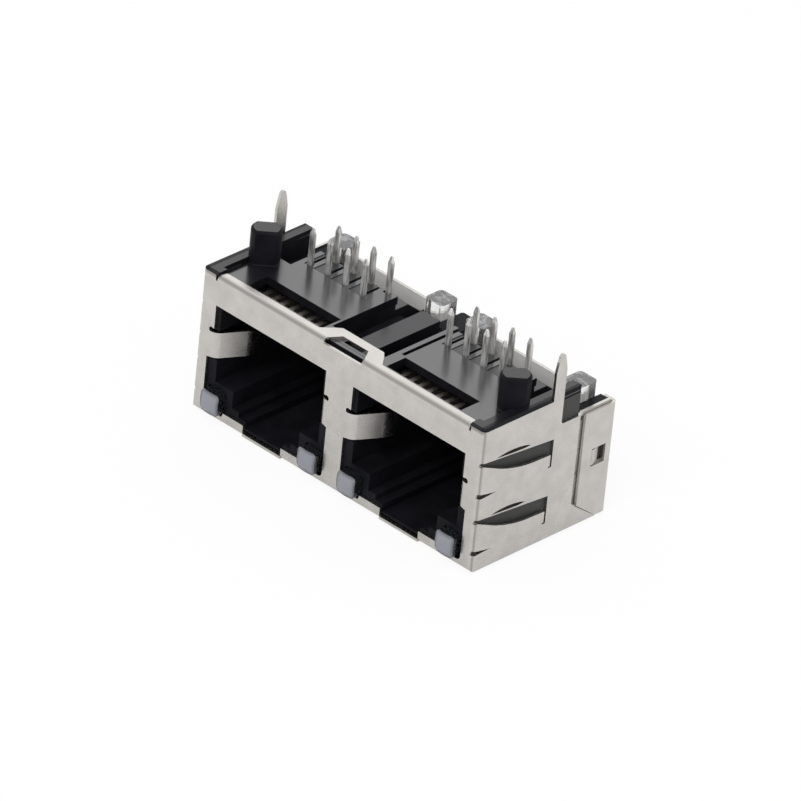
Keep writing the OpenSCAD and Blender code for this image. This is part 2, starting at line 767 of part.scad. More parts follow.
// The rail; its rim slopes down to the outside
module rail() {
    top = wall_h + rail_rise;
    rim_z = wall_h + shield_gap;
    intersection() {
        union() {
            along_z(board_z - 0.5, top) rail_plan();
            along_z(rim_z, top) rim_plan();
        }
        along_y(-over, shell_d) polygon([
            [0, 0], [half_w, 0], [half_w, rim_z + 0.02], [housing_x + 0.01, top], [0, top]
        ]);
        along_x(0, half_w + over) polygon([
            [0, 0], [shell_d, 0], [shell_d, top], [housing_y0 - 0.01, top], [0, rim_z + 0.02]
        ]);
    }
}

// Deep grooves on both sides of the middle rib, and the rib's own lower top
module channel_grooves() {
    floor_z = pocket_z;
    box([-channel_w[0], 2.3, floor_z], [-rib_w / 2, cavity_d, board_z + over]);
    box([rib_w / 2, 2.3, floor_z], [channel_w[1], cavity_d, board_z + over]);
    box([channel_w[1] + bar_w, 3.7, floor_z], [channel_w[1] + bar_w + slit_w, cavity_d, board_z + over]);
    box([-rib_w / 2 - 0.01, 1.2, board_z - rib_drop], [rib_w / 2 + 0.01, high_y1 + over, board_z + over]);
    box([-channel_w[0], rib_y1, deck_z], [channel_w[1] + bar_w, high_y1 + over, board_z + over]);
}

// Pocket between the board face's plate and the rail
module outer_pocket() {
    inner = port_x[1] + plate_half;
    box([inner, pocket_y0, pocket_z], [housing_x - rail_w, high_y1 + over, board_z + over]);
}

// The plate ends before the rear, between the outer pockets and the middle
module rear_gap() {
    wide = plate_half + slit_w;
    each_port() box([-wide, plate_y1, pocket_z], [wide, high_y1 + over, board_z + over]);
}

// Raised block between the two inner light pipes
module pipe_divider() {
    box([-rib_w / 2, cavity_d + 0.4, deck_z - 0.2], [rib_w / 2, housing_y1, deck_z + 0.1]);
}

// One contact insert, moulded round its eight contacts: a plate with a groove for each contact,
// tongues that fill the housing's openings, and a comb at the back of the cavity
module contact_insert(port) {
    half = insert_w / 2;
    back = cavity_d + insert_gap;
    color([0.2, 0.2, 0.21]) translate([port_x[port], 0, 0]) difference() {
        union() {
            along_x(-half, half) insert_profile();
            for (k = [0 : 3]) {
                x = front_pin(k);
                left = k == 0 ? x - 0.4 : x - 1.37;
                box([left, row_y - 0.28, insert_z1 - 0.1], [x - slot_half, plate_y1 - 0.1, tongue_z]);
            }
        }
        for (i = [0 : 7]) {
            x = (i - 3.5) * contact_pitch;
            w = contact_w / 2 + contact_gap;
            y1 = (i % 2 == 0 ? row_y : rear_y) + contact_t / 2 + contact_gap;
            // groove of the run
            box([x - w, -over, groove_z], [x + w, y1, insert_z1 + 0.02]);
            // passage of the pin
            box([x - w, y1 - contact_t - 2 * contact_gap, groove_z], [x + w, y1, board_z]);
            // comb slot of the wire's free end
            box([x - w, back - over, comb_slot_z], [x + w, back + 0.5, insert_z0 + 0.01]);
        }
    }
}

// The insert from the side, as (y, z)
module insert_profile() {
    back = cavity_d + insert_gap;
    translate([nose_y, insert_z0 + nose_r]) circle(nose_r - contact_gap);
    translate([nose_y, insert_z0]) square([back - 0.35 - nose_y, 2 * nose_r]);
    translate([comb_y1 + 0.4, insert_z0]) {
        square([plate_y1 - 0.5 - comb_y1, insert_z1 - insert_z0]);
    }
    polygon([
        [back - 0.4, insert_z0], [back, insert_z0 - 0.4], [back, cavity_z0 + 0.02],
        [back + insert_back, cavity_z0 + 0.02], [back + insert_back, deck_z - 0.2],
        [back - 0.35, insert_z0 + 2 * nose_r], [back - 0.4, insert_z0 + 2 * nose_r]
    ]);
}

// A contact's path, as (y, z): the pin, the run to the nose, the turn round it and the spring wire
function contact_path(y) = let (
    bend = 0.4,
    mid_r = nose_r + contact_t / 2,
    nose = [nose_y, run_z - mid_r],
    end_a = 270 - wire_slope,
    start = nose + mid_r * [cos(end_a), sin(end_a)],
    dir = [cos(wire_slope), -sin(wire_slope)]
) concat(
    [[y, pin_z]],
    arc([y - bend, run_z + bend], bend, 0, -90, 4),
    arc(nose, mid_r, 90, end_a, 10),
    [start + wire_l * dir]
);

module contact(port, i) {
    y = i % 2 == 0 ? row_y : rear_y;
    x = port_x[port] + (i - 3.5) * contact_pitch;
    tip = 0.55;
    color([0.80, 0.78, 0.72]) intersection() {
        along_x(x - contact_w / 2, x + contact_w / 2) intersection() {
            polygon(ribbon(contact_path(y), contact_t));
            polygon([
                [-over, 0], [shell_d, 0], [shell_d, pin_z - tip], [y + contact_t / 2, pin_z - tip],
                [y + contact_t / 5, pin_z], [y - contact_t / 5, pin_z],
                [y - contact_t / 2, pin_z - tip], [-over, pin_z - tip]
            ]);
        }
        along_y(-over, shell_d) translate([x, 0]) polygon([
            [-contact_w / 2, 0], [contact_w / 2, 0], [contact_w / 2, pin_z - tip],
            [contact_w / 5, pin_z], [-contact_w / 5, pin_z], [-contact_w / 2, pin_z - tip]
        ]);
    }
}

// A light pipe: a lens in the front, a leg to the back, a slanted mirror face and an upright leg
module light_pipe(i) {
    port = i < 2 ? 0 : 1;
    side = i % 2 == 0 ? -1 : 1;
    x = port_x[port] + side * pipe_x;
    low = pipe_z - pipe_w / 2;
    back = pipe_y + pipe_w / 2;
    dome = 3.4;
    color([0.75, 0.76, 0.8, 0.6]) translate([x, 0, 0]) difference() {
        union() {
            intersection() {
                along_y(-lens_out, back) translate([0, pipe_z]) pipe_section(pipe_w, 0.42);
                union() {
                    translate([0, dome - lens_out, pipe_z]) sphere(dome);
                    box([-pipe_w, dome - lens_out, -over], [pipe_w, shell_d, 2 * pipe_z + over]);
                }
            }
            along_z(pipe_z, pipe_top_z) translate([0, pipe_y]) pipe_section(pipe_w, 0.42);
        }
        // slanted mirror face at the lower rear corner
        along_x(-pipe_w, pipe_w) polygon([
            [back - mirror_leg, low - 0.01], [back + 0.01, low - 0.01],
            [back + 0.01, low + mirror_leg]
        ]);
    }
}

housing();
front_shell();
rear_cover();
contact_insert(0);  // insert_left
contact_insert(1);  // insert_right
contact(0, 0);  // contact_left_1
contact(0, 1);  // contact_left_2
contact(0, 2);  // contact_left_3
contact(0, 3);  // contact_left_4
contact(0, 4);  // contact_left_5
contact(0, 5);  // contact_left_6
contact(0, 6);  // contact_left_7
contact(0, 7);  // contact_left_8
contact(1, 0);  // contact_right_1
contact(1, 1);  // contact_right_2
contact(1, 2);  // contact_right_3
contact(1, 3);  // contact_right_4
contact(1, 4);  // contact_right_5
contact(1, 5);  // contact_right_6
contact(1, 6);  // contact_right_7
contact(1, 7);  // contact_right_8
light_pipe(0);  // light_pipe_1
light_pipe(1);  // light_pipe_2
light_pipe(2);  // light_pipe_3
light_pipe(3);  // light_pipe_4
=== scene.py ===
import math

import bpy
from mathutils import Matrix, Vector

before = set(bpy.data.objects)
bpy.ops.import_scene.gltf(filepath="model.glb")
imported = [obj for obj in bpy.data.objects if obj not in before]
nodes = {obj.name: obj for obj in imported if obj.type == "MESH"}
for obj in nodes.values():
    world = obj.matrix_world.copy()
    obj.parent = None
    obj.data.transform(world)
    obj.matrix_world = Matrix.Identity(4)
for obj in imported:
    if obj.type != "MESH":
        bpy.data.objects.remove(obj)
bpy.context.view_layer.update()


# Housing: one moulding of black PBT with glass fibre, in a tool that is polished where the board face
# lies and spark eroded elsewhere. So the board face mirrors the pins, and the rims and the lower ledges
# are duller. The side faces below the rims get a painted grey sheen, a painted reflection of the floor.
housing_black = "#121216"
housing_black_flow = "#1C1C21"
housing_side_painted_sheen = "#4A4A49"
flow_stops = (0.35, 0.7)
flow_marks_per_metre = 450
fibres_per_metre = 6500
fibre_relief = 0.12
skin_depth = 0.00001
board_face_z = 0.01305
board_face_tolerance = 0.00004
side_face_x = 0.0156
rim_foot_z = 0.0128
low_face_z = 0.0122
low_face_blend = 0.0001
level_from = 0.8
level_full = 0.98
level_shine = 0.5
rim_shine_share = 0.35
low_shine_share = 0.1
polished_roughness = (0.1, 0.3)
eroded_roughness = (0.42, 0.58)
pbt_ior = 1.57
pbt_reflection = 0.05
skin_ior = 1.85
housing_skin_roughness = 0.2


def srgb(code):
    """Linear colour of an sRGB hex value."""
    parts = [int(code[i:i + 2], 16) / 255 for i in (1, 3, 5)]
    linear = [p / 12.92 if p <= 0.04045 else ((p + 0.055) / 1.055) ** 2.4 for p in parts]
    return (*linear, 1.0)


def add_node(tree, kind, settings=None, values=None, links=None, stops=None):
    """Adds a node with its properties, input values, links and colour stops."""
    node = tree.nodes.new(kind)
    for name, value in (settings or {}).items():
        setattr(node, name, value)
    for name, value in (values or {}).items():
        node.inputs[name].default_value = value
    for name, output in (links or {}).items():
        tree.links.new(output, node.inputs[name])
    if stops:
        for element, (position, colour) in zip(node.color_ramp.elements, stops):
            element.position = position
            element.color = colour
    return node


def start_material(name):
    """A new material with only its output and the Object coordinates."""
    material = bpy.data.materials.new(name)
    material.use_nodes = True
    tree = material.node_tree
    tree.nodes.clear()
    output = add_node(tree, "ShaderNodeOutputMaterial")
    place = add_node(tree, "ShaderNodeTexCoord").outputs["Object"]
    return material, tree, output, place


def dress(material, *names):
    """Puts a material in every slot of these CAD nodes."""
    for name in names:
        for material_slot in nodes[name].material_slots:
            material_slot.material = material


# Moulded black PBT: flow marks about 2 mm wide, and the glass fibres just under the skin, whose
# 0.01 mm width is drawn at 0.15 mm so that it shows. A coat stands for the resin's glossy skin.
housing_pbt, tree, output, place = start_material("moulded_black_pbt")
parts = add_node(tree, "ShaderNodeSeparateXYZ", links={"Vector": place})
normal = add_node(tree, "ShaderNodeNewGeometry").outputs["Normal"]
facing = add_node(tree, "ShaderNodeSeparateXYZ", links={"Vector": normal})
flow = add_node(
    tree, "ShaderNodeTexNoise",
    values={"Scale": flow_marks_per_metre, "Detail": 3, "Roughness": 0.5},
    links={"Vector": place},
)
fibres = add_node(
    tree, "ShaderNodeTexNoise", values={"Scale": fibres_per_metre, "Detail": 2}, links={"Vector": place}
)
colour = add_node(
    tree, "ShaderNodeValToRGB", links={"Fac": flow.outputs["Fac"]},
    stops=[(flow_stops[0], srgb(housing_black)), (flow_stops[1], srgb(housing_black_flow))],
)
board_face = add_node(
    tree, "ShaderNodeMath", {"operation": "COMPARE"},
    {1: board_face_z, 2: board_face_tolerance}, {0: parts.outputs["Z"]},
)
sideways = add_node(tree, "ShaderNodeMath", {"operation": "ABSOLUTE"}, links={0: parts.outputs["X"]})
beside = add_node(
    tree, "ShaderNodeMath", {"operation": "GREATER_THAN"}, {1: side_face_x}, {0: sideways.outputs[0]}
)
below = add_node(
    tree, "ShaderNodeMath", {"operation": "LESS_THAN"}, {1: rim_foot_z}, {0: parts.outputs["Z"]}
)
side_face = add_node(
    tree, "ShaderNodeMath", {"operation": "MULTIPLY"},
    links={0: beside.outputs[0], 1: below.outputs[0]},
)
# Painted reflection: the housing's side faces below the rims are painted grey in place of the floor they
# mirror.
painted_side_sheen = add_node(
    tree, "ShaderNodeMixRGB", values={"Color2": srgb(housing_side_painted_sheen)},
    links={"Fac": side_face.outputs[0], "Color1": colour.outputs["Color"]},
)
level = add_node(
    tree, "ShaderNodeMapRange",
    values={"From Min": level_from, "From Max": level_full, "To Max": level_shine},
    links={"Value": facing.outputs["Z"]},
)
dull_rim = add_node(
    tree, "ShaderNodeMapRange", values={"To Min": 1.0, "To Max": rim_shine_share},
    links={"Value": beside.outputs[0]},
)
high = add_node(
    tree, "ShaderNodeMapRange",
    values={"From Min": low_face_z, "From Max": low_face_z + low_face_blend, "To Min": low_shine_share},
    links={"Value": parts.outputs["Z"]},
)
dulled = add_node(
    tree, "ShaderNodeMath", {"operation": "MULTIPLY"},
    links={0: dull_rim.outputs["Result"], 1: high.outputs["Result"]},
)
upper_shine = add_node(
    tree, "ShaderNodeMath", {"operation": "MULTIPLY"},
    links={0: level.outputs["Result"], 1: dulled.outputs[0]},
)
shine = add_node(
    tree, "ShaderNodeMath", {"operation": "MAXIMUM"},
    links={0: board_face.outputs[0], 1: upper_shine.outputs[0]},
)
polished = add_node(
    tree, "ShaderNodeMapRange",
    values={"To Min": polished_roughness[0], "To Max": polished_roughness[1]},
    links={"Value": flow.outputs["Fac"]},
)
eroded = add_node(
    tree, "ShaderNodeMapRange",
    values={"To Min": eroded_roughness[0], "To Max": eroded_roughness[1]},
    links={"Value": flow.outputs["Fac"]},
)
gloss = add_node(
    tree, "ShaderNodeMix",
    links={"Factor": board_face.outputs[0], "A": eroded.outputs["Result"], "B": polished.outputs["Result"]},
)
skin = add_node(
    tree, "ShaderNodeBump", values={"Strength": fibre_relief, "Distance": skin_depth},
    links={"Height": fibres.outputs["Fac"]},
)
plastic = add_node(
    tree, "ShaderNodeBsdfPrincipled",
    values={
        "IOR": pbt_ior, "Specular IOR Level": pbt_reflection,
        "Coat IOR": skin_ior, "Coat Roughness": housing_skin_roughness,
    },
    links={
        "Base Color": painted_side_sheen.outputs["Color"], "Roughness": gloss.outputs[0],
        "Coat Weight": shine.outputs[0], "Normal": skin.outputs["Normal"],
    },
)
tree.links.new(plastic.outputs["BSDF"], output.inputs["Surface"])
dress(housing_pbt, "housing")


# Contact inserts: a second black plastic, moulded as plates with grooves for the contact wires, and
# slid in from behind. They are plain mouldings with a duller skin than the housing, and only their
# upper faces, in the openings of the board face, catch the light.
insert_black = "#0E0E11"
insert_black_flow = "#17171B"
insert_flow_marks_per_metre = 700
insert_fibres_per_metre = 5200
insert_fibre_relief = 0.2
insert_roughness = (0.45, 0.6)
tongue_foot_z = 0.0105
tongue_shine = 0.6
insert_ior = 1.55
insert_reflection = 0.15
insert_skin_roughness = 0.3

# Moulded black PBT of a plainer grade: flow marks about 1.5 mm wide under a dull skin.
insert_pbt, tree, output, place = start_material("moulded_black_pbt_dull")
parts = add_node(tree, "ShaderNodeSeparateXYZ", links={"Vector": place})
normal = add_node(tree, "ShaderNodeNewGeometry").outputs["Normal"]
facing = add_node(tree, "ShaderNodeSeparateXYZ", links={"Vector": normal})
flow = add_node(
    tree, "ShaderNodeTexNoise", values={"Scale": insert_flow_marks_per_metre, "Detail": 3},
    links={"Vector": place},
)
fibres = add_node(
    tree, "ShaderNodeTexNoise", values={"Scale": insert_fibres_per_metre, "Detail": 2},
    links={"Vector": place},
)
colour = add_node(
    tree, "ShaderNodeValToRGB", links={"Fac": flow.outputs["Fac"]},
    stops=[(flow_stops[0], srgb(insert_black)), (flow_stops[1], srgb(insert_black_flow))],
)
gloss = add_node(
    tree, "ShaderNodeMapRange", values={"To Min": insert_roughness[0], "To Max": insert_roughness[1]},
    links={"Value": flow.outputs["Fac"]},
)
level = add_node(
    tree, "ShaderNodeMapRange",
    values={"From Min": level_from, "From Max": level_full, "To Max": tongue_shine},
    links={"Value": facing.outputs["Z"]},
)
at_board = add_node(
    tree, "ShaderNodeMath", {"operation": "GREATER_THAN"}, {1: tongue_foot_z}, {0: parts.outputs["Z"]}
)
shine = add_node(
    tree, "ShaderNodeMath", {"operation": "MULTIPLY"},
    links={0: level.outputs["Result"], 1: at_board.outputs[0]},
)
skin = add_node(
    tree, "ShaderNodeBump", values={"Strength": insert_fibre_relief, "Distance": skin_depth},
    links={"Height": fibres.outputs["Fac"]},
)
plastic = add_node(
    tree, "ShaderNodeBsdfPrincipled",
    values={
        "IOR": insert_ior, "Specular IOR Level": insert_reflection,
        "Coat IOR": skin_ior, "Coat Roughness": insert_skin_roughness,
    },
    links={
        "Base Color": colour.outputs["Color"], "Roughness": gloss.outputs["Result"],
        "Coat Weight": shine.outputs[0], "Normal": skin.outputs["Normal"],
    },
)
tree.links.new(plastic.outputs["BSDF"], output.inputs["Surface"])
dress(insert_pbt, "insert_left", "insert_right")


# Contacts: phosphor bronze wires, sheared from strip, formed, and laid in the inserts' grooves. They
# are plated with matt tin on the tails and with gold on the springs, which meet the plug, and stay
# bare bronze on the run between the two, under the board face.
tin_tail = "#EAE9E7"
tin_tail_dull = "#9A9896"
bronze_run = "#B5ADA2"
gold_spring = "#D8B25A"
spring_top_z = 0.0112
run_top_z = 0.0125
plating_edge = 0.0003
draw_lines_per_metre = (5000, 5000, 700)
tail_stops = (0.36, 0.6)
contact_roughness = (0.22, 0.4)
tin_tail_metal_share = 0.7
contacts_per_port = 8

# Tin and gold plating: drawing lines 0.2 mm apart along the tails, and a matt tin that scatters some
# of the light and mirrors the rest.
contact_plating, tree, output, place = start_material("tin_and_gold_plating")
height = add_node(tree, "ShaderNodeSeparateXYZ", links={"Vector": place}).outputs["Z"]
draw_lines = add_node(
    tree, "ShaderNodeMapping", values={"Scale": draw_lines_per_metre}, links={"Vector": place}
)
drawn = add_node(
    tree, "ShaderNodeTexNoise", values={"Scale": 1.0, "Detail": 2},
    links={"Vector": draw_lines.outputs["Vector"]},
)
tin = add_node(
    tree, "ShaderNodeValToRGB", links={"Fac": drawn.outputs["Fac"]},
    stops=[(tail_stops[0], srgb(tin_tail_dull)), (tail_stops[1], srgb(tin_tail))],
)
on_tail = add_node(
    tree, "ShaderNodeMapRange", values={"From Min": run_top_z, "From Max": run_top_z + plating_edge},
    links={"Value": height},
)
on_run = add_node(
    tree, "ShaderNodeMapRange",
    values={"From Min": spring_top_z, "From Max": spring_top_z + plating_edge},
    links={"Value": height},
)
inside = add_node(
    tree, "ShaderNodeMixRGB", values={"Color1": srgb(gold_spring), "Color2": srgb(bronze_run)},
    links={"Fac": on_run.outputs["Result"]},
)
colour = add_node(
    tree, "ShaderNodeMixRGB",
    links={
        "Fac": on_tail.outputs["Result"],
        "Color1": inside.outputs["Color"], "Color2": tin.outputs["Color"],
    },
)
gloss = add_node(
    tree, "ShaderNodeMapRange",
    values={"To Min": contact_roughness[0], "To Max": contact_roughness[1]},
    links={"Value": drawn.outputs["Fac"]},
)
metal = add_node(
    tree, "ShaderNodeMapRange", values={"To Min": 1.0, "To Max": tin_tail_metal_share},
    links={"Value": on_tail.outputs["Result"]},
)
plating = add_node(
    tree, "ShaderNodeBsdfPrincipled",
    links={
        "Base Color": colour.outputs["Color"], "Roughness": gloss.outputs["Result"],
        "Metallic": metal.outputs["Result"],
    },
)
tree.links.new(plating.outputs["BSDF"], output.inputs["Surface"])
for side in ("left", "right"):
    for number in range(1, contacts_per_port + 1):
        dress(contact_plating, f"contact_{side}_{number}")


# Light pipes: clear polycarbonate mouldings that carry a lamp's light from the board to the front,
# pushed into the housing's tunnels from behind. The lens fronts are frosted, the upper ends are
# cloudy, and the rest is polished.
pipe_clear = "#FFFFFF"
pipe_tunnel_painted_shade = "#6A6E76"
pipe_frost = "#999BA4"
light_pipe_count = 4
lens_front_y = -0.00078
lens_dome_d = 0.0006
lens_front_full = 0.4
lens_facing = (-0.35, -0.85)
port_x = 0.00794
pipe_x = 0.00565
pipe_z = 0.00175
lens_edge = 0.00102
lens_frost_full = 0.0007
lens_edge_frost = 0.45
pipe_top_z = 0.01197
pipe_top_tolerance = 0.00003
tunnel_y = 0.004
tunnel_blend = 0.0004
clouds_per_metre = 1900
cloud_stops = (0.5, 0.68)
cloud_frost = 0.6
sink_relief = 0.4
sink_depth = 0.00006
pipe_transmission = (0.92, 0.3)
pipe_roughness = (0.03, 0.4)
polycarbonate_ior = 1.585

# Clear polycarbonate: glassy where polished, with a painted shade, a darker tint, inside the black
# tunnel. The frost scatters the light to a milky grey, and the clouds and shallow sinks of the moulding are
# about 0.5 mm wide.
light_pipe_plastic, tree, output, place = start_material("clear_polycarbonate")
parts = add_node(tree, "ShaderNodeSeparateXYZ", links={"Vector": place})
normal = add_node(tree, "ShaderNodeNewGeometry").outputs["Normal"]
facing = add_node(tree, "ShaderNodeSeparateXYZ", links={"Vector": normal})
near_front = add_node(
    tree, "ShaderNodeMapRange",
    values={"From Min": lens_front_y + lens_dome_d, "From Max": lens_front_y + lens_front_full * lens_dome_d},
    links={"Value": parts.outputs["Y"]},
)
towards_front = add_node(
    tree, "ShaderNodeMapRange", values={"From Min": lens_facing[0], "From Max": lens_facing[1]},
    links={"Value": facing.outputs["Y"]},
)
lens_face = add_node(
    tree, "ShaderNodeMath", {"operation": "MULTIPLY"},
    links={0: near_front.outputs["Result"], 1: towards_front.outputs["Result"]},
)
# Distance from the middle of the nearest lens, folded over the part's middle, the ports and the pipes
from_lens = parts.outputs["X"]
for centre in (0.0, port_x, pipe_x):
    moved = add_node(tree, "ShaderNodeMath", {"operation": "SUBTRACT"}, {1: centre}, {0: from_lens})
    folded = add_node(tree, "ShaderNodeMath", {"operation": "ABSOLUTE"}, links={0: moved.outputs[0]})
    from_lens = folded.outputs[0]
rise = add_node(tree, "ShaderNodeMath", {"operation": "SUBTRACT"}, {1: pipe_z}, {0: parts.outputs["Z"]})
rise = add_node(tree, "ShaderNodeMath", {"operation": "ABSOLUTE"}, links={0: rise.outputs[0]})
from_lens = add_node(
    tree, "ShaderNodeMath", {"operation": "MAXIMUM"}, links={0: from_lens, 1: rise.outputs[0]}
)
within_edge = add_node(
    tree, "ShaderNodeMapRange",
    values={"From Min": lens_edge, "From Max": lens_frost_full, "To Min": lens_edge_frost},
    links={"Value": from_lens.outputs[0]},
)
lens_frost = add_node(
    tree, "ShaderNodeMath", {"operation": "MULTIPLY"},
    links={0: lens_face.outputs[0], 1: within_edge.outputs["Result"]},
)
upper_end = add_node(
    tree, "ShaderNodeMath", {"operation": "COMPARE"},
    {1: pipe_top_z, 2: pipe_top_tolerance}, {0: parts.outputs["Z"]},
)
cloud = add_node(
    tree, "ShaderNodeTexNoise", values={"Scale": clouds_per_metre, "Detail": 3}, links={"Vector": place}
)
cloudy = add_node(
    tree, "ShaderNodeMapRange",
    values={"From Min": cloud_stops[0], "From Max": cloud_stops[1], "To Max": cloud_frost},
    links={"Value": cloud.outputs["Fac"]},
)
end_frost = add_node(
    tree, "ShaderNodeMath", {"operation": "MULTIPLY"},
    links={0: upper_end.outputs[0], 1: cloudy.outputs["Result"]},
)
frosted = add_node(
    tree, "ShaderNodeMath", {"operation": "MAXIMUM"},
    links={0: lens_frost.outputs[0], 1: end_frost.outputs[0]},
)
clear_share = add_node(
    tree, "ShaderNodeMapRange",
    values={"To Min": pipe_transmission[0], "To Max": pipe_transmission[1]},
    links={"Value": frosted.outputs[0]},
)
gloss = add_node(
    tree, "ShaderNodeMapRange", values={"To Min": pipe_roughness[0], "To Max": pipe_roughness[1]},
    links={"Value": frosted.outputs[0]},
)
# Painted shade: the pipe is tinted darker inside the black tunnel.
tunnel_shade_share = add_node(
    tree, "ShaderNodeMapRange", values={"From Min": tunnel_y + tunnel_blend, "From Max": tunnel_y},
    links={"Value": parts.outputs["Y"]},
)
tunnel_shaded_body = add_node(
    tree, "ShaderNodeMixRGB", values={"Color1": srgb(pipe_clear), "Color2": srgb(pipe_tunnel_painted_shade)},
    links={"Fac": tunnel_shade_share.outputs["Result"]},
)
tint = add_node(
    tree, "ShaderNodeMixRGB", values={"Color2": srgb(pipe_frost)},
    links={"Fac": frosted.outputs[0], "Color1": tunnel_shaded_body.outputs["Color"]},
)
sink = add_node(
    tree, "ShaderNodeBump", values={"Strength": sink_relief, "Distance": sink_depth},
    links={"Height": cloud.outputs["Fac"]},
)
clear = add_node(
    tree, "ShaderNodeBsdfPrincipled", values={"IOR": polycarbonate_ior},
    links={
        "Base Color": tint.outputs["Color"], "Roughness": gloss.outputs["Result"],
        "Transmission Weight": clear_share.outputs["Result"], "Normal": sink.outputs["Normal"],
    },
)
tree.links.new(clear.outputs["BSDF"], output.inputs["Surface"])
for number in range(1, light_pipe_count + 1):
    dress(light_pipe_plastic, f"light_pipe_{number}")


# Shield: the front shell and the rear cover, stamped and folded from 0.25 mm cold rolled steel, tin
# plated. The rear cover's ears snap over the bumps of the front shell. The tin has a painted shade
# along the front folds and a painted highlight on the bumps, and the rear cover's inner face is
# painted lighter for the light it catches.
tin_light = "#CBC8C4"
tin_dark = "#BCB9B5"
tin_fold_shade_colour = "#989591"
tin_inner_face_painted_light = "#F8F6F3"
tin_bump_painted_highlight = "#FFFFFF"
tin_stops = (0.3, 0.7)
wall_lines_per_metre = (260, 260, 7000)
flange_lines_per_metre = (260, 7000, 260)
mottles_per_metre = 700
line_share = 0.15
line_relief = 0.04
line_depth = 0.00001
gloss_spread = 0.08
fold_d = 0.00034
fold_foot_z = 0.01296
corner_x = 0.01597
fold_edge_full = 0.5
corner_edge = 0.3
proud_x = 0.01619
proud_blend = 0.0001
bump_y = 0.0118
cover_inner_y = 0.01562
cover_inner_tolerance = 0.00003
shell_metal_share = 1.0
shell_roughness = 0.27
cover_metal_share = 0.8
cover_roughness = 0.36


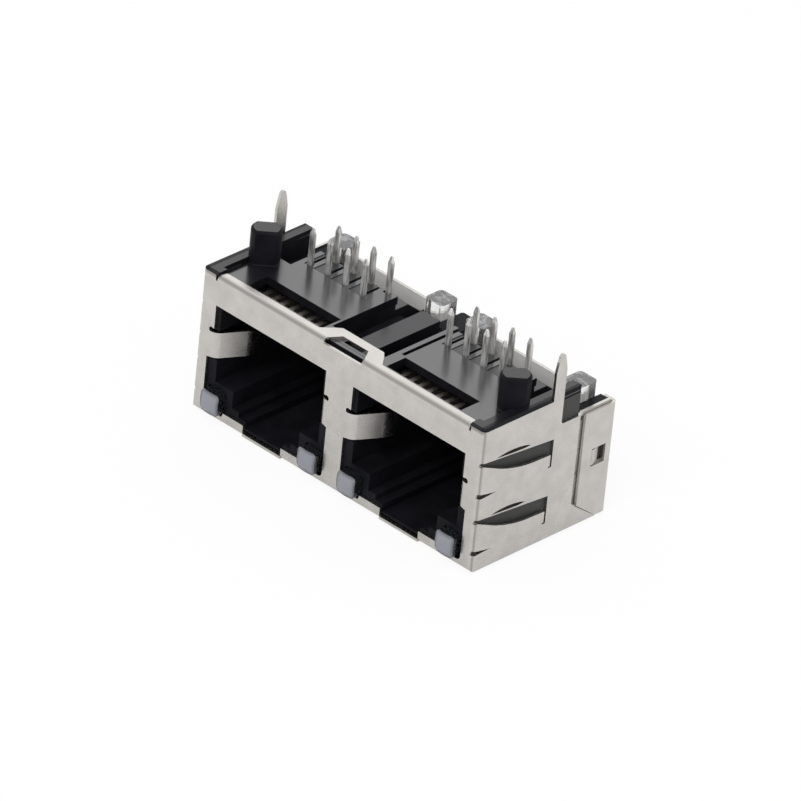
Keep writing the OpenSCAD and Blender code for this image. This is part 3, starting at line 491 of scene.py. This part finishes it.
def tin_plated_steel(name, metal_share, dull):
    """Tin plated sheet: fine lines 0.14 mm apart from the rolls, along the strip, and a mottle of
    about 1.4 mm. The folds at the front carry a painted shade and the bumps a painted highlight. The
    rear cover's inner face is matt and painted lighter for the light it catches."""
    material, tree, output, place = start_material(name)
    parts = add_node(tree, "ShaderNodeSeparateXYZ", links={"Vector": place})
    sideways = add_node(tree, "ShaderNodeMath", {"operation": "ABSOLUTE"}, links={0: parts.outputs["X"]})
    normal = add_node(tree, "ShaderNodeNewGeometry").outputs["Normal"]
    facing = add_node(tree, "ShaderNodeSeparateXYZ", links={"Vector": normal})
    upward = add_node(tree, "ShaderNodeMath", {"operation": "ABSOLUTE"}, links={0: facing.outputs["Z"]})
    wall_place = add_node(
        tree, "ShaderNodeMapping", values={"Scale": wall_lines_per_metre}, links={"Vector": place}
    )
    flange_place = add_node(
        tree, "ShaderNodeMapping", values={"Scale": flange_lines_per_metre}, links={"Vector": place}
    )
    wall_lines = add_node(
        tree, "ShaderNodeTexNoise", values={"Scale": 1.0, "Detail": 2},
        links={"Vector": wall_place.outputs["Vector"]},
    )
    flange_lines = add_node(
        tree, "ShaderNodeTexNoise", values={"Scale": 1.0, "Detail": 2},
        links={"Vector": flange_place.outputs["Vector"]},
    )
    lines = add_node(
        tree, "ShaderNodeMix",
        links={"Factor": upward.outputs[0], "A": wall_lines.outputs["Fac"], "B": flange_lines.outputs["Fac"]},
    )
    mottle = add_node(
        tree, "ShaderNodeTexNoise", values={"Scale": mottles_per_metre, "Detail": 6}, links={"Vector": place}
    )
    tone = add_node(
        tree, "ShaderNodeMix", values={"Factor": line_share},
        links={"A": mottle.outputs["Fac"], "B": lines.outputs[0]},
    )
    rolled = add_node(
        tree, "ShaderNodeValToRGB", links={"Fac": tone.outputs[0]},
        stops=[(tin_stops[0], srgb(tin_dark)), (tin_stops[1], srgb(tin_light))],
    )
    gloss = add_node(
        tree, "ShaderNodeMapRange", values={"To Min": dull - gloss_spread, "To Max": dull + gloss_spread},
        links={"Value": tone.outputs[0]},
    )
    near_front = add_node(
        tree, "ShaderNodeMapRange", values={"From Min": fold_d, "From Max": fold_edge_full * fold_d},
        links={"Value": parts.outputs["Y"]},
    )
    over_wall = add_node(
        tree, "ShaderNodeMapRange",
        values={"From Min": fold_foot_z, "From Max": fold_foot_z + fold_edge_full * fold_d},
        links={"Value": parts.outputs["Z"]},
    )
    at_corner = add_node(
        tree, "ShaderNodeMapRange",
        values={"From Min": corner_x, "From Max": corner_x + corner_edge * fold_d},
        links={"Value": sideways.outputs[0]},
    )
    along_fold = add_node(
        tree, "ShaderNodeMath", {"operation": "MAXIMUM"},
        links={0: over_wall.outputs["Result"], 1: at_corner.outputs["Result"]},
    )
    # Painted shade: the tin is painted darker along the front folds, over the top edge and at the corners.
    fold_shade_share = add_node(
        tree, "ShaderNodeMath", {"operation": "MULTIPLY"},
        links={0: near_front.outputs["Result"], 1: along_fold.outputs[0]},
    )
    fold_shaded = add_node(
        tree, "ShaderNodeMixRGB", values={"Color2": srgb(tin_fold_shade_colour)},
        links={"Fac": fold_shade_share.outputs[0], "Color1": rolled.outputs["Color"]},
    )
    proud = add_node(
        tree, "ShaderNodeMapRange", values={"From Min": proud_x, "From Max": proud_x + proud_blend},
        links={"Value": sideways.outputs[0]},
    )
    at_bump = add_node(
        tree, "ShaderNodeMath", {"operation": "GREATER_THAN"}, {1: bump_y}, {0: parts.outputs["Y"]}
    )
    # Painted highlight: the bumps proud of the side walls at the rear are painted white.
    bump_highlight_share = add_node(
        tree, "ShaderNodeMath", {"operation": "MULTIPLY"},
        links={0: proud.outputs["Result"], 1: at_bump.outputs[0]},
    )
    bump_highlighted = add_node(
        tree, "ShaderNodeMixRGB", values={"Color2": srgb(tin_bump_painted_highlight)},
        links={"Fac": bump_highlight_share.outputs[0], "Color1": fold_shaded.outputs["Color"]},
    )
    # Painted light: the rear cover's inner face is made matt and painted near white for the light it catches.
    inner_face = add_node(
        tree, "ShaderNodeMath", {"operation": "COMPARE"},
        {1: cover_inner_y, 2: cover_inner_tolerance}, {0: parts.outputs["Y"]},
    )
    colour = add_node(
        tree, "ShaderNodeMixRGB", values={"Color2": srgb(tin_inner_face_painted_light)},
        links={"Fac": inner_face.outputs[0], "Color1": bump_highlighted.outputs["Color"]},
    )
    metal = add_node(
        tree, "ShaderNodeMapRange", values={"To Min": metal_share, "To Max": 0.0},
        links={"Value": inner_face.outputs[0]},
    )
    relief = add_node(
        tree, "ShaderNodeBump", values={"Strength": line_relief, "Distance": line_depth},
        links={"Height": lines.outputs[0]},
    )
    tin_plate = add_node(
        tree, "ShaderNodeBsdfPrincipled",
        links={
            "Base Color": colour.outputs["Color"], "Roughness": gloss.outputs["Result"],
            "Metallic": metal.outputs["Result"], "Normal": relief.outputs["Normal"],
        },
    )
    tree.links.new(tin_plate.outputs["BSDF"], output.inputs["Surface"])
    return material


dress(tin_plated_steel("bright_tin_plated_steel", shell_metal_share, shell_roughness), "front_shell")
dress(tin_plated_steel("matt_tin_plated_steel", cover_metal_share, cover_roughness), "rear_cover")


# Floor: a pale floor under the jack. It shows white to the camera, is dimmer in reflections, and
# still darkens under the jack.
floor_size = 1.2
floor_z = -0.0002
floor_pale = "#F2F2F2"
floor_seen_share = 0.9
floor_mirrored_share = 0.25
room_white = 1.0
bpy.ops.object.select_all(action="DESELECT")
bpy.ops.mesh.primitive_plane_add(size=floor_size, location=(0, 0, floor_z))
floor = bpy.context.object
floor.name = "floor"
floor_finish, tree, output, place = start_material("pale_floor")
rays = add_node(tree, "ShaderNodeLightPath")
mirrored = add_node(
    tree, "ShaderNodeMath", {"operation": "MAXIMUM"},
    links={0: rays.outputs["Is Glossy Ray"], 1: rays.outputs["Is Transmission Ray"]},
)
mirrored_share = add_node(
    tree, "ShaderNodeMath", {"operation": "MULTIPLY"}, {1: floor_mirrored_share}, {0: mirrored.outputs[0]}
)
seen_share = add_node(
    tree, "ShaderNodeMath", {"operation": "MULTIPLY"},
    {1: floor_seen_share}, {0: rays.outputs["Is Camera Ray"]},
)
white_share = add_node(
    tree, "ShaderNodeMath", {"operation": "MAXIMUM"},
    links={0: mirrored_share.outputs[0], 1: seen_share.outputs[0]},
)
pale = add_node(tree, "ShaderNodeBsdfDiffuse", values={"Color": srgb(floor_pale)})
white = add_node(tree, "ShaderNodeEmission", values={"Color": (1, 1, 1, 1), "Strength": room_white})
mixed = add_node(
    tree, "ShaderNodeMixShader",
    links={0: white_share.outputs[0], 1: pale.outputs[0], 2: white.outputs[0]},
)
tree.links.new(mixed.outputs[0], output.inputs["Surface"])
floor.data.materials.append(floor_finish)


# Room: a plain pale room all round. It is white to the camera and in reflections, and a little
# weaker as light on what scatters.
room_light = 0.85
world = bpy.data.worlds.new("room")
bpy.context.scene.world = world
world.use_nodes = True
tree = world.node_tree
tree.nodes.clear()
output = add_node(tree, "ShaderNodeOutputWorld")
rays = add_node(tree, "ShaderNodeLightPath")
seen_or_mirrored = add_node(
    tree, "ShaderNodeMath", {"operation": "MAXIMUM"},
    links={0: rays.outputs["Is Camera Ray"], 1: rays.outputs["Is Glossy Ray"]},
)
seen = add_node(
    tree, "ShaderNodeMath", {"operation": "MAXIMUM"},
    links={0: seen_or_mirrored.outputs[0], 1: rays.outputs["Is Transmission Ray"]},
)
strength = add_node(
    tree, "ShaderNodeMapRange", values={"To Min": room_light, "To Max": room_white},
    links={"Value": seen.outputs[0]},
)
sky = add_node(
    tree, "ShaderNodeBackground", values={"Color": (1, 1, 1, 1)},
    links={"Strength": strength.outputs["Result"]},
)
tree.links.new(sky.outputs[0], output.inputs["Surface"])


# Lamps: a large soft box in front, to the right and above, and a weak one behind on the left. Both
# are turned to the middle of the jack and are not seen by the camera.
jack_middle = (0, 0.008, 0.008)
back_left_place = (-0.19, 0.22, 0.18)
back_left_size = (0.17, 0.12)
back_left_watts = 0.028
front_place = (0.10, -0.42, 0.46)
front_size = (0.30, 0.30)
front_watts = 1.5


def soft_box(name, place, size, watts):
    """Rectangular lamp at a place, turned to the middle of the jack."""
    lamp = bpy.data.lights.new(name, "AREA")
    lamp.shape = "RECTANGLE"
    lamp.size, lamp.size_y = size
    lamp.energy = watts
    holder = bpy.data.objects.new(name, lamp)
    holder.visible_camera = False
    bpy.context.scene.collection.objects.link(holder)
    holder.location = place
    holder.rotation_euler = (Vector(jack_middle) - Vector(place)).to_track_quat("-Z", "Y").to_euler()


soft_box("back_left_box", back_left_place, back_left_size, back_left_watts)
soft_box("front_box", front_place, front_size, front_watts)


# Camera: above the right front corner, with a long lens, turned a little about its own axis. Its
# angles are in degrees.
camera_place = (0.526907, -0.584214, 0.487172)
camera_heading = 41.678
camera_tilt = 31.288
camera_roll = 5.855
camera_data = bpy.data.cameras.new("camera")
camera_data.sensor_width = 36
camera_data.lens = 510.07
camera_data.clip_start = 0.01
camera_data.clip_end = 5
camera = bpy.data.objects.new("camera", camera_data)
bpy.context.scene.collection.objects.link(camera)
camera.matrix_world = (
    Matrix.Translation(camera_place)
    @ Matrix.Rotation(math.radians(camera_heading), 4, "Z")
    @ Matrix.Rotation(math.radians(90 - camera_tilt), 4, "X")
    @ Matrix.Rotation(math.radians(camera_roll), 4, "Z")
)
bpy.context.scene.camera = camera
bpy.context.scene.view_settings.view_transform = "Standard"

bpy.context.view_layer.update()
